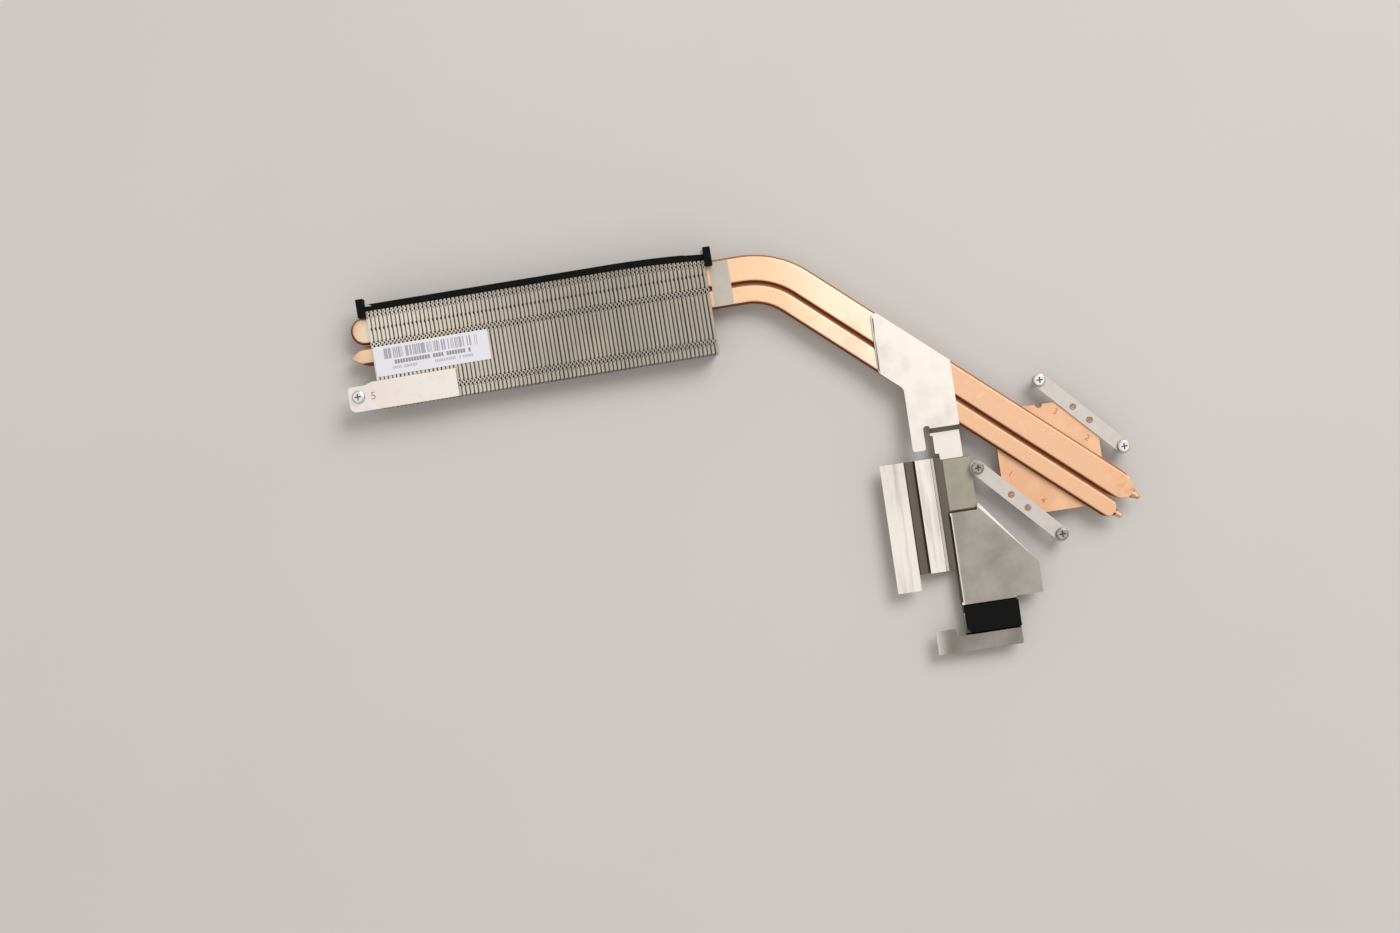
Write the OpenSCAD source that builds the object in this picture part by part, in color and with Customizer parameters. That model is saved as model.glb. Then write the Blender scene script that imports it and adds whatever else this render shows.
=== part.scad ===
// Flat heat pipe cooling module: two flattened copper heat pipes carry heat from a
// contact plate, held down by two spring arms, to a stack of zipped aluminium fins.
//
// Millimetres, +Z up. The origin is the centre of the contact face, at Z = 0.
// +X runs along the board, about parallel to the fin stack, and +Y towards its far edge.

/* [Contact plate] */
// Width of the contact plate along X
plate_w = 41.2; // [38:0.2:46]
// Depth of the contact plate along Y
plate_d = 43.2; // [40:0.2:48]
// Thickness of the contact plate
plate_t = 1.5; // [1.2:0.1:2.5]
// Side of the square contact pad coined into the plate's underside
pad_w = 30; // [20:1:32]
// Height of the contact pad below the plate
pad_t = 1.0; // [0.5:0.1:1.5]
// Radius of the locating notch in the plate's far edge
notch_r = 1.45; // [1:0.05:2]
// Distance of the locating notch's centre from the plate's centre line
notch_x = -1.6; // [-3:0.1:0]
// How far the cut corners of the plate reach past the middle of each spring arm
corner_margin = 1.6; // [1.4:0.1:2.4]

/* [Heat pipes] */
// Diameter of the round tube that the wide pipe is pressed from
wide_tube_d = 8; // [7.5:0.1:8.5]
// Diameter of the round tube that the narrow pipe is pressed from
narrow_tube_d = 6; // [5.5:0.1:6.4]
// Thickness of both pipes after pressing
pipe_t = 2.5; // [2:0.1:3.2]
// Gap between the two pipes
pipe_gap = 0.5; // [0.3:0.05:0.8]
// Distance of the pair's middle line from the plate's centre
pair_shift = 1.1; // [0.5:0.1:1.8]
// Angle at which the pipes cross the plate, below +X
pipe_angle = 41; // [38:0.5:44]
// Angle through which the pipes bend
bend_angle = 41.85; // [41:0.05:43]
// Bend radius on the narrow pipe's centre line
bend_r = 24.7; // [22:0.1:28]
// Length of the straight run from the plate's centre to the bend
run_len = 122; // [116:1:128]
// How far the wide pipe's closed end reaches past the fins
tail_out = 7.7; // [6:0.1:10]
// How much further the narrow pipe's closed end reaches than the wide one's
narrow_extra = 1.5; // [0:0.1:3]
// Reach of the wide pipe's fill tip past the plate's centre
wide_reach = 38.6; // [37:0.2:40]
// Reach of the narrow pipe's fill tip past the plate's centre
narrow_reach = 36.7; // [35:0.2:38]
// Length of the wide pipe's swaged nose, from full width to the crimped nipple
wide_nose = 8.6; // [7:0.2:10]
// Length of the narrow pipe's swaged nose
narrow_nose = 4.4; // [3.6:0.2:6]
// Length of the crimped fill nipple at each tip
nipple_len = 3.4; // [2.5:0.1:4]
// Diameter of the crimped fill nipple
nipple_d = 2.2; // [1.6:0.1:2.4]
// Length of the narrow pipe's pointed closed end
point_len = 9; // [7:0.5:11]

/* [Fin stack] */
// Number of fins
fin_count = 83; // [70:1:84]
// Distance from one fin to the next
fin_pitch = 1.65; // [1.5:0.01:1.66]
// Thickness of the fin sheet
fin_t = 0.3; // [0.2:0.05:0.4]
// Open gap between one fin's flange and the next fin
flange_gap = 0.45; // [0.3:0.05:0.6]
// Height of the fins
stack_h = 12; // [10:0.5:14]
// How far the fins reach below the contact face
stack_drop = 4; // [3.5:0.1:5]
// Length of each fin, from the near edge to the far edge
stack_depth = 39.2; // [37:0.2:42]
// Distance from the wide pipe's centre line to the far edge
far_margin = 7.4; // [6.6:0.1:9]
// Distance from the bend to the nearest fin
stack_start = 13.8; // [12:0.2:16]
// Length at the near end over which the far edge curves in
edge_curve_len = 40; // [20:1:60]
// Radius of that curve
edge_curve_r = 460; // [400:10:900]
// Clearance of the pipe slots round the pipes
slot_clear = 0.08; // [0.05:0.01:0.15]
// Width of each row of locking tabs
hem_w = 1.1; // [0.8:0.1:1.4]
// Width of the open windows beside the locking tabs
window_w = 0.9; // [0.6:0.1:1.2]
// Depth of the windows, from the top of the fins
window_depth = 0.8; // [0.5:0.1:1.2]
// Distance of the third row of locking tabs from the near edge
near_hem = 4.2; // [3.5:0.1:6]

/* [Spring arms] */
// Distance between the two plate screws along X
screw_span_x = 59.2; // [58:0.2:60.4]
// Distance between the two plate screws along Y
screw_span_y = 62.4; // [61:0.2:63.6]
// Width of the spring arms
arm_w = 5.9; // [5.4:0.1:6.4]
// Thickness of the spring arms
arm_t = 0.8; // [0.6:0.05:1.2]
// Distance between the two rivets of an arm
rivet_span = 8.5; // [7:0.5:10]
// Diameter of the rivets' shanks
rivet_d = 1.5; // [1.2:0.1:1.8]
// Diameter of the rivets' heads
rivet_head_d = 2.6; // [2.3:0.1:3]
// Height of the rivets' heads
rivet_head_h = 0.35; // [0.2:0.05:0.6]
// Clearance round the rivets' shanks
rivet_clear = 0.05; // [0.03:0.01:0.08]

/* [Screws] */
// Diameter of the screw heads
head_d = 5; // [4.6:0.1:5.4]
// Height of the screw heads
head_h = 1.6; // [1.2:0.1:2]
// Diameter of the plain shank under each head
shank_d = 3; // [2.8:0.05:3.2]
// Running clearance of the shank in its hole, on the radius
shank_clear = 0.08; // [0.05:0.01:0.1]
// Outside diameter of the screw thread
thread_d = 2.5; // [2.2:0.1:2.6]
// Length of the screw thread
thread_len = 5.4; // [4.6:0.1:5.6]
// Width of the cross recess over its wings
recess_w = 2.5; // [2:0.1:2.8]
// Width of one wing of the cross recess
recess_wing = 0.6; // [0.5:0.05:0.8]
// Depth of the cross recess
recess_depth = 0.9; // [0.6:0.1:1]
// Depth of the groove for the retaining clip
groove_depth = 0.65; // [0.5:0.05:0.7]
// Outside diameter of the retaining clips
clip_d = 4.4; // [4.1:0.1:5]
// Thickness of the retaining clips
clip_t = 0.4; // [0.3:0.05:0.5]
// End play between a clip and the sheet above it
clip_play = 0.15; // [0.1:0.05:0.25]

/* [Pipe bracket] */
// Thickness of the nickel-plated sheets
sheet_t = 0.5; // [0.4:0.05:0.7]
// Distance of the bracket's left edge from the plate's centre
bracket_left = 63.4; // [60:0.2:66]
// Distance of the bracket's right edge from the plate's centre
bracket_right = 34.4; // [33.4:0.2:35.4]
// Width of the bracket's free leg
leg_w = 5.3; // [4.5:0.1:6]
// Width of the slot between the leg and the tab
leg_slot = 2.8; // [2.2:0.1:3.2]
// Distance of the leg's end from the plate's centre line
leg_end = 10; // [8:0.5:12]
// Distance from the bracket's right edge to the leg's left edge
leg_back = 20; // [18:0.2:21]
// Run of the step, seen from above
step_run = 2; // [1.6:0.1:2.6]
// Distance of the tab's end from the plate's centre line
tab_end = 5.4; // [4.8:0.1:6]
// Corner radius of the sheet outlines
corner_r = 1; // [0.6:0.1:1.4]

/* [Stepped plate] */
// Height of the stepped plate's low floor, top side, above the contact face
floor_z = 1.0; // [0.8:0.05:1.2]
// Rise from the low floor to the panel and the ridge
ridge_rise = 2.2; // [1.6:0.1:2.6]
// Rise from the low floor to the wide lower plate and the end bar
plate_rise = 1.7; // [1.2:0.1:2.2]
// Horizontal run of the folded walls
wall_run = 0.7; // [0.5:0.05:0.9]
// Left edge of the side panel
panel_left = 68.4; // [66:0.2:70]
// Width of the side panel
panel_w = 9.7; // [8:0.1:10.4]
// Width of each channel's floor
channel_w = 3.2; // [2.6:0.1:3.4]
// Width of the ridge
ridge_w = 6.2; // [5:0.1:6.8]
// Width of the small ledge beside the ridge
ledge_w = 1.0; // [0.6:0.1:1.4]
// Far edge of the folded part
fold_top = 6.4; // [5.8:0.1:7.4]
// Near edge of the folded part
fold_bottom = -39.2; // [-41:0.2:-37]
// Near edge of the side panel
panel_bottom = -45.5; // [-48:0.5:-43]
// Width of the insulating pad
pad_strip_w = 11; // [9:0.2:11.6]
// Far edge of the wide lower plate, where it meets the pad's floor
lower_top = -16.5; // [-18:0.1:-14.5]
// Thickness of the insulating pad
pad_strip_t = 0.3; // [0.15:0.05:0.4]
// Right edge of the lower plate
lower_right = -10.6; // [-12:0.2:-9]
// Length of the slanting edge at the lower plate's right side, along Y
lower_slant = 24.4; // [22:0.2:26]
// Length of the straight corner above that slant, along Y
lower_shoulder = 3.1; // [2:0.1:4]
// Near edge of the lower plate
lower_bottom = -53.6; // [-55:0.2:-52]
// Near edge of the foam recess
recess_bottom = -65.8; // [-67:0.2:-64]
// Left end of the end bar
bar_left = -55.8; // [-58:0.2:-53]
// Near edge of the end bar
bar_bottom = -72.2; // [-74:0.2:-70.5]
// Right end of the end bar and the foam recess
bar_right = -21.4; // [-23:0.2:-20]
// How far the end bar's left part stands back into the recess
bar_step = 3.2; // [2:0.2:3.6]
// Width of the upstand at the foam's left edge
upstand_w = 6.2; // [5:0.2:7]

/* [Screw plate] */
// Thickness of the screw plate on the fins
tongue_t = 0.8; // [0.6:0.05:1.2]
// Length of the screw plate that lies on the fins
tongue_on = 32; // [26:1:40]
// Length of the screw plate past the fins
tongue_off = 12; // [10.5:0.5:13.5]
// Width of the screw plate
tongue_w = 11.2; // [10.4:0.2:12]
// Distance of the fifth screw from the fins
screw_5_out = 8.1; // [6.5:0.1:8.5]

/* [Foam, tape and label] */
// Thickness of the foam seal along the far edge
seal_t = 2.6; // [2:0.1:3.2]
// Height of the foam seal above the fins
seal_proud = 0.6; // [0.2:0.1:1]
// Width of the foam blocks at the ends of the seal
block_w = 3; // [2.2:0.1:4]
// Length of the foam blocks
block_len = 7.4; // [6.4:0.1:8.5]
// How far the foam blocks reach back over the stack's ends
block_back = 2.4; // [1.6:0.1:3]
// Height of the foam blocks above the fins
block_proud = 2.5; // [1.5:0.1:3.5]
// Thickness of the tape, the label and other thin skins
skin_t = 0.12; // [0.08:0.01:0.2]
// Width of the tape across the pipes
tape_w = 7.8; // [6:0.2:9]
// Distance of the tape from the last fin
tape_gap = 1.4; // [1:0.1:2]
// Width of the label
label_w = 46; // [40:1:50]
// Depth of the label
label_d = 12; // [10:0.2:12.4]
// Height of the foam block in the lower plate's recess
cushion_h = 2.8; // [2.2:0.1:3.4]

/* [Hidden] */
$fn = 96;
eps = 0.01;

// Heights, from the contact face up
plate_z = pad_t;
pipe_z = plate_z + plate_t;
pipe_top = pipe_z + pipe_t;
stack_z = -stack_drop;
stack_top = stack_z + stack_h;

// A tube of diameter d keeps its girth when it is pressed to the pipe's thickness
function pressed_w(d) = pipe_t + PI * (d - pipe_t) / 2;
wide_w = pressed_w(wide_tube_d);
narrow_w = pressed_w(narrow_tube_d);
pair_w = wide_w + pipe_gap + narrow_w;
wide_off = pair_shift + (pair_w - wide_w) / 2;
narrow_off = pair_shift - (pair_w - narrow_w) / 2;
centre_gap = wide_off - narrow_off;
wide_bend_r = bend_r + centre_gap;

// The stack's own axes start at the bend's centre
stack_len = (fin_count - 1) * fin_pitch + fin_pitch - flange_gap;
stack_left = -stack_start - stack_len;
far_edge_v = wide_bend_r + far_margin;
near_edge_v = far_edge_v - stack_depth;
flange_w = fin_pitch - flange_gap;
edge_drop = pow(edge_curve_len, 2) / (2 * edge_curve_r);
tail_len = tail_out - stack_left;

// The far edge is straight, then curves in towards the bend
function far_edge(u) = far_edge_v - pow(max(0, u + stack_start + edge_curve_len), 2) / (2 * edge_curve_r);

// Spring arms and screws
arm_angle = atan2(screw_span_y, screw_span_x);
arm_len = sqrt(pow(screw_span_x, 2) + pow(screw_span_y, 2)) / 2;
arm_dist = screw_span_x * screw_span_y / (4 * arm_len);
arm_z = pipe_z;
SCREWS = [
    [-screw_span_x / 2, 0],
    [screw_span_x / 2, 0],
    [0, screw_span_y / 2],
    [0, -screw_span_y / 2]
];
hole_d = shank_d + 2 * shank_clear;
screw_5_u = stack_left - screw_5_out;
screw_5_v = near_edge_v + tongue_w / 2 + 0.3;

// Pipe bracket, left to right
leg_left = -bracket_right - leg_back;
leg_right = leg_left + leg_w;
tab_left = leg_right + leg_slot;
tab_z = floor_z;
narrow_edge = narrow_off - narrow_w / 2;
wide_edge = wide_off + wide_w / 2;
// Y on the line that runs along the pipes at distance t from the plate's centre
function edge_y(t, x) = (t - x * sin(pipe_angle)) / cos(pipe_angle);
step_y = edge_y(narrow_edge, -bracket_right) + 0.1;
tongue_top = step_y - step_run - 1;

// Stepped plate, left to right
panel_right = -panel_left + panel_w;
channel_1 = panel_right + wall_run;
ridge_left = channel_1 + channel_w + wall_run;
ridge_right = ridge_left + ridge_w;
ledge_left = ridge_right + wall_run / 2;
channel_2 = ledge_left + ledge_w + wall_run / 2;
wall_x = channel_2 + channel_w - 0.6;
ridge_z = floor_z + ridge_rise;
ledge_z = floor_z + ridge_rise / 2;
lower_z = floor_z + plate_rise;
recess_z = floor_z;
pad_left = wall_x + 0.8;
pad_right = pad_left + pad_strip_w;

// ---------- helpers ----------

function unit(v) = v / norm(v);
function right_of(d) = [d[1], -d[0]];

// Points of an arc that rounds the corner b between a and c
function corner_arc(a, b, c, r, n = 5) =
    r <= 0 ? [b] :
    let (u = unit(a - b), v = unit(c - b),
         half = acos(u * v) / 2,
         m = b + unit(u + v) * r / sin(half),
         p = b + u * r / tan(half) - m,
         q = b + v * r / tan(half) - m,
         start = atan2(p[1], p[0]),
         turn = atan2(q[1], q[0]) - start,
         sweep = turn > 180 ? turn - 360 : turn < -180 ? turn + 360 : turn)
    [for (k = [0 : n]) m + r * [cos(start + sweep * k / n), sin(start + sweep * k / n)]];

// An outline given as [point, corner radius] pairs, with its corners rounded
function rounded(pairs) =
    let (n = len(pairs))
    [for (i = [0 : n - 1])
        each corner_arc(pairs[(i + n - 1) % n][0], pairs[i][0], pairs[(i + 1) % n][0], pairs[i][1])];

// A folded sheet's section: its top line and the same line t below it, mitred at the folds
function ribbon(path, t) =
    let (n = len(path),
         dirs = [for (i = [0 : n - 2]) unit(path[i + 1] - path[i])],
         under = [for (i = [0 : n - 1])
             let (a = right_of(dirs[max(0, i - 1)]), b = right_of(dirs[min(n - 2, i)]))
             path[i] + (a + b) * t / (1 + a * b)])
    concat(path, [for (i = [n - 1 : -1 : 0]) under[i]]);

// Section of a pressed pipe, w wide: two flats joined by half rounds
function pipe_section(w, grow = 0, n = 10) =
    let (r = pipe_t / 2 + grow, flat = (w - pipe_t) / 2)
    [for (side = [1, -1]) for (k = [0 : n])
        let (a = -90 + 180 * k / n)
        [side * (flat + r * cos(a)), side * r * sin(a)]];

// Places children at the pipes' level, with X along the pipes over the plate
module along_pipes(offset) {
    rotate([0, 0, -pipe_angle]) translate([0, offset, pipe_z + pipe_t / 2]) children();
}

// Places children in the stack's own axes, with the origin at the bend's centre
module in_stack() {
    rotate([0, 0, -pipe_angle]) translate([-run_len, narrow_off - bend_r, 0])
        rotate([0, 0, bend_angle]) children();
}

// A straight length of pressed pipe from x = a to x = b
module pipe_run(w, a, b, grow = 0) {
    translate([a, 0, 0]) rotate([90, 0, 90])
        linear_extrude(b - a) polygon(pipe_section(w, grow));
}

// The swaged nose that closes a pipe at x = 0 and ends in the crimped nipple
module fill_nose(w, nose) {
    half = w / 2 + 0.05;
    neck = nipple_d / 2;
    profile = concat(
        [for (k = [0 : 6]) [neck + (half - neck) * cos(15 * k), nose * pow(sin(15 * k), 1.25)]],
        [[neck, nose + nipple_len - 0.5], [neck - 0.35, nose + nipple_len], [0, nose + nipple_len], [0, 0]]
    );
    intersection() {
        pipe_run(w, 0, nose + nipple_len + 1);
        rotate([0, 90, 0]) rotate([0, 0, 90]) rotate_extrude() polygon(profile);
    }
}

// The pointed nose that closes the narrow pipe's far end, pointing to -X from x = 0
module pointed_end(w, reach) {
    half = w / 2 + 0.05;
    tip = 0.45;
    profile = concat(
        [for (k = [0 : 6]) [tip + (half - tip) * cos(15 * k), reach * pow(sin(15 * k), 1.1)]],
        [[0, reach], [0, 0]]
    );
    intersection() {
        pipe_run(w, -reach - 1, 0);
        rotate([0, -90, 0]) rotate([0, 0, 90]) rotate_extrude() polygon(profile);
    }
}

// The round closed end of the wide pipe, turned about z at x = 0
module round_end(w) {
    n = 10;
    r = pipe_t / 2;
    flat = (w - pipe_t) / 2;
    half_section = concat([[0, -r]],
        [for (a = [-90 : 180 / n : 90]) [flat + r * cos(a), r * sin(a)]], [[0, r]]);
    rotate([0, 0, 90]) rotate_extrude(angle = 180) polygon(half_section);
}

// The bend of a pipe about the bend's centre, a hair smaller so that the runs lap over it
module pipe_bend(w, r) {
    translate([0, 0, pipe_z + pipe_t / 2]) rotate([0, 0, 90 - bend_angle])
        rotate_extrude(angle = bend_angle, $fn = 180)
            translate([r, 0]) polygon(pipe_section(w, -eps));
}

// A pressed pipe without its far end: fill nose, run over the plate, bend and tail
module pipe_body(w, offset, r, reach, nose, tail) {
    nose_x = reach - nose - nipple_len;
    lap = 0.3;
    along_pipes(offset) {
        pipe_run(w, -run_len - lap, nose_x);
        translate([nose_x, 0, 0]) fill_nose(w, nose);
    }
    in_stack() {
        pipe_bend(w, r);
        translate([0, r, pipe_z + pipe_t / 2]) pipe_run(w, -tail, lap);
    }
}

// A flat bar with round ends between two points, with a hole at each
module strap(length, width, thickness, hole) {
    difference() {
        union() {
            translate([0, -width / 2, 0]) cube([length, width, thickness]);
            for (x = [0, length]) translate([x, 0, 0]) cylinder(h = thickness, d = width + eps);
        }
        for (x = [0, length]) translate([x, 0, -eps]) cylinder(h = thickness + 2 * eps, d = hole);
    }
}

// Places children at an arm's middle, with X along the arm
module on_arm(side) {
    translate([side * screw_span_x / 4, side * screw_span_y / 4, 0]) rotate([0, 0, -arm_angle]) children();
}

// ---------- parts ----------

module wide_heat_pipe() {
    end_x = tail_len - wide_w / 2;
    color("peachpuff") union() {
        pipe_body(wide_w, wide_off, wide_bend_r, wide_reach, wide_nose, end_x);
        in_stack() translate([-end_x, wide_bend_r, pipe_z + pipe_t / 2]) round_end(wide_w);
    }
}

module narrow_heat_pipe() {
    end_x = tail_len + narrow_extra - point_len;
    color("peachpuff") union() {
        pipe_body(narrow_w, narrow_off, bend_r, narrow_reach, narrow_nose, end_x);
        in_stack() translate([-end_x, bend_r, pipe_z + pipe_t / 2]) pointed_end(narrow_w, point_len);
    }
}

module contact_plate() {
    half_w = plate_w / 2;
    half_d = plate_d / 2;
    cut = arm_dist + corner_margin;
    cut_x = (cut - half_d * cos(arm_angle)) / sin(arm_angle);
    cut_y = (cut - half_w * sin(arm_angle)) / cos(arm_angle);
    outline = [
        [-half_w, half_d], [cut_x, half_d], [half_w, cut_y],
        [half_w, -half_d], [-cut_x, -half_d], [-half_w, -cut_y]
    ];
    color("burlywood") difference() {
        union() {
            translate([0, 0, plate_z]) linear_extrude(plate_t) polygon(outline);
            translate([-pad_w / 2, -pad_w / 2, 0]) cube([pad_w, pad_w, plate_z + plate_t / 2]);
        }
        translate([notch_x, half_d, plate_z - eps]) cylinder(h = plate_t + 2 * eps, r = notch_r);
        rivet_places() translate([0, 0, plate_z - pipe_z - arm_t - eps])
            cylinder(h = plate_t + 2 * eps, d = rivet_d + 2 * rivet_clear);
    }
}

// Puts children on top of each arm, at each of its two rivets
module rivet_places() {
    for (side = [1, -1]) on_arm(side)
        for (x = [-rivet_span / 2, rivet_span / 2]) translate([x, 0, arm_z + arm_t]) children();
}

module spring_arm(side) {
    difference() {
        on_arm(side) translate([-arm_len / 2, 0, arm_z]) strap(arm_len, arm_w, arm_t, hole_d);
        rivet_places() translate([0, 0, -arm_t - eps])
            cylinder(h = arm_t + 2 * eps, d = rivet_d + 2 * rivet_clear);
    }
}

module upper_spring_arm() {
    color("gainsboro") spring_arm(1);
}

module lower_spring_arm() {
    color("gainsboro") spring_arm(-1);
}

module arm_rivets() {
    head_r = rivet_head_d / 2;
    shank_r = rivet_d / 2;
    dish = rivet_head_h * 0.7;
    profile = [
        [0, -arm_t - plate_t], [shank_r, -arm_t - plate_t], [shank_r, 0], [head_r, 0],
        [head_r, rivet_head_h / 2], [head_r - 0.25, rivet_head_h], [shank_r, rivet_head_h],
        [shank_r - 0.25, rivet_head_h - dish], [0, rivet_head_h - dish]
    ];
    color("chocolate") rivet_places() rotate_extrude() polygon(profile);
}

// A captive pan-head screw with its head's underside at z = 0, for a sheet of the given grip
module screw(grip) {
    head_r = head_d / 2;
    shank_r = shank_d / 2;
    thread_r = thread_d / 2;
    groove_top = -grip - clip_play;
    groove_end = groove_top - clip_t - clip_play / 3;
    groove_r = shank_r - groove_depth;
    shank_end = groove_end - 0.4;
    tip = shank_end - thread_len;
    profile = [
        [0, tip], [thread_r - 0.4, tip], [thread_r, tip + 0.4], [thread_r, shank_end],
        [shank_r, shank_end], [shank_r, groove_end], [groove_r, groove_end],
        [groove_r, groove_top], [shank_r, groove_top], [shank_r, 0],
        [head_r - 0.1, 0], [head_r, 0.1], [head_r, head_h - 0.55], [head_r - 0.15, head_h - 0.25],
        [head_r - 0.6, head_h], [0, head_h]
    ];
    difference() {
        rotate_extrude() polygon(profile);
        for (turn = [0, 90]) rotate([0, 0, turn])
            translate([-recess_w / 2, -recess_wing / 2, head_h - recess_depth])
                cube([recess_w, recess_wing, recess_depth + eps]);
    }
}

// The retaining clip in the screw's groove, open to one side
module clip(grip) {
    inner = shank_d / 2 - groove_depth + 0.05;
    mouth = inner * 1.5;
    translate([0, 0, -grip - clip_play - clip_t]) difference() {
        cylinder(h = clip_t, d = clip_d);
        translate([0, 0, -eps]) cylinder(h = clip_t + 2 * eps, r = inner);
        translate([0, -mouth / 2, -eps]) cube([clip_d, mouth, clip_t + 2 * eps]);
    }
}

// Places children under the head of plate screw number i, from 1 to 4
module at_screw(i) {
    translate([SCREWS[i - 1][0], SCREWS[i - 1][1], arm_z + arm_t]) children();
}

module at_screw_5() {
    in_stack() translate([screw_5_u, screw_5_v, stack_top + tongue_t]) children();
}

module screw_1() {
    color("darkgray") at_screw(1) screw(arm_t);
}

module screw_2() {
    color("whitesmoke") at_screw(2) screw(arm_t);
}

module screw_3() {
    color("whitesmoke") at_screw(3) screw(arm_t);
}

module screw_4() {
    color("darkgray") at_screw(4) screw(arm_t);
}

module screw_5() {
    color("whitesmoke") at_screw_5() screw(tongue_t);
}

module screw_1_clip() {
    color("dimgray") at_screw(1) clip(arm_t);
}

module screw_2_clip() {
    color("dimgray") at_screw(2) clip(arm_t);
}

module screw_3_clip() {
    color("dimgray") at_screw(3) clip(arm_t);
}

module screw_4_clip() {
    color("dimgray") at_screw(4) clip(arm_t);
}

module screw_5_clip() {
    color("dimgray") at_screw_5() clip(tongue_t);
}

// One fin in section: a sheet with a flange at its top and its bottom
function fin_section() = [
    [0, stack_z], [flange_w, stack_z], [flange_w, stack_z + fin_t], [fin_t, stack_z + fin_t],
    [fin_t, stack_top - fin_t], [flange_w, stack_top - fin_t], [flange_w, stack_top], [0, stack_top]
];

// Section of the slot that both pipes share, with pointed ends round the pipes' half-round sides
function slot_section(w) =
    let (h = pipe_t / 2 + slot_clear, flat = (w - pipe_t) / 2,
         r = flat + h * sqrt(2), c = h * (sqrt(2) - 1))
    [[-r, 0], [-flat - c, -h], [flat + c, -h], [r, 0], [flat + c, h], [-flat - c, h]];

module fin_stack() {
    seam_v = bend_r + narrow_w / 2 + pipe_gap / 2;
    pair_v = bend_r + (pair_w - narrow_w) / 2;
    hem_rows = [far_edge_v - edge_drop - hem_w - 0.4, seam_v - hem_w / 2, near_edge_v + near_hem];
    window_rows = [seam_v + hem_w / 2, near_edge_v + near_hem + hem_w];
    color("tan") in_stack() difference() {
        union() {
            for (i = [0 : fin_count - 1]) {
                u = stack_left + i * fin_pitch;
                far = far_edge(u + flange_w);
                translate([u, far, 0]) rotate([90, 0, 0])
                    linear_extrude(far - near_edge_v) polygon(fin_section());
            }
            for (v = hem_rows) translate([stack_left, v, stack_top - fin_t])
                cube([stack_len, hem_w, fin_t]);
        }
        for (v = window_rows) translate([stack_left - 1, v, stack_top - window_depth])
            cube([stack_len + 2, window_w, window_depth + 1]);
        translate([stack_left - 1, pair_v, pipe_z + pipe_t / 2]) rotate([90, 0, 90])
            linear_extrude(stack_len + 2) polygon(slot_section(pair_w));
    }
}

module pipe_bracket() {
    left = -bracket_left;
    right = -bracket_right;
    corner_x = leg_left - corner_r;
    top_plate = rounded([
        [[left, edge_y(wide_edge, left) - 3], 1.5 * corner_r],
        [[left + 2.5, edge_y(wide_edge, left + 2.5)], corner_r],
        [[right, edge_y(wide_edge, right)], corner_r / 2],
        [[right, step_y], 0],
        [[tab_left, step_y], 0],
        [[tab_left, step_y + 1.2], leg_slot * 0.45],
        [[leg_right, step_y + 1.2], leg_slot * 0.45],
        [[leg_right, leg_end], corner_r],
        [[leg_left, leg_end], corner_r],
        [[leg_left, edge_y(narrow_edge, leg_left)], 3 * corner_r],
        [[left, edge_y(narrow_edge, left)], 2 * corner_r]
    ]);
    step_end = step_y - step_run;
    step = ribbon([[step_end - 1, tab_z + sheet_t], [step_end, tab_z + sheet_t],
                   [step_y, pipe_top + sheet_t], [step_y + 1, pipe_top + sheet_t]], sheet_t);
    ear = tab_left + 1;
    tab = rounded([
        [[ear, step_end - 0.5], 0], [[right, step_end - 0.5], 0],
        [[right, tab_end], corner_r / 2], [[ear + 1.6, tab_end], corner_r / 2],
        [[ear + 1.6, tab_end + 2.6], corner_r / 2], [[ear, tab_end + 2.6], corner_r / 2]
    ]);
    color("linen") union() {
        translate([0, 0, pipe_top]) linear_extrude(sheet_t) polygon(top_plate);
        translate([tab_left, 0, 0]) rotate([90, 0, 90]) linear_extrude(right - tab_left) polygon(step);
        translate([0, 0, tab_z]) linear_extrude(sheet_t) polygon(tab);
    }
}

// A sheet section in X and Z, drawn out along Y from one edge to the other
module fold_along_y(near, far, path) {
    translate([0, far, 0]) rotate([90, 0, 0]) linear_extrude(far - near) polygon(ribbon(path, sheet_t));
}

// A sheet section in Y and Z, drawn out along X
module fold_along_x(left, right, path) {
    translate([left, 0, 0]) rotate([90, 0, 90]) linear_extrude(right - left) polygon(ribbon(path, sheet_t));
}

module flat_sheet(z, outline) {
    translate([0, 0, z - sheet_t]) linear_extrude(sheet_t) polygon(outline);
}

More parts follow.
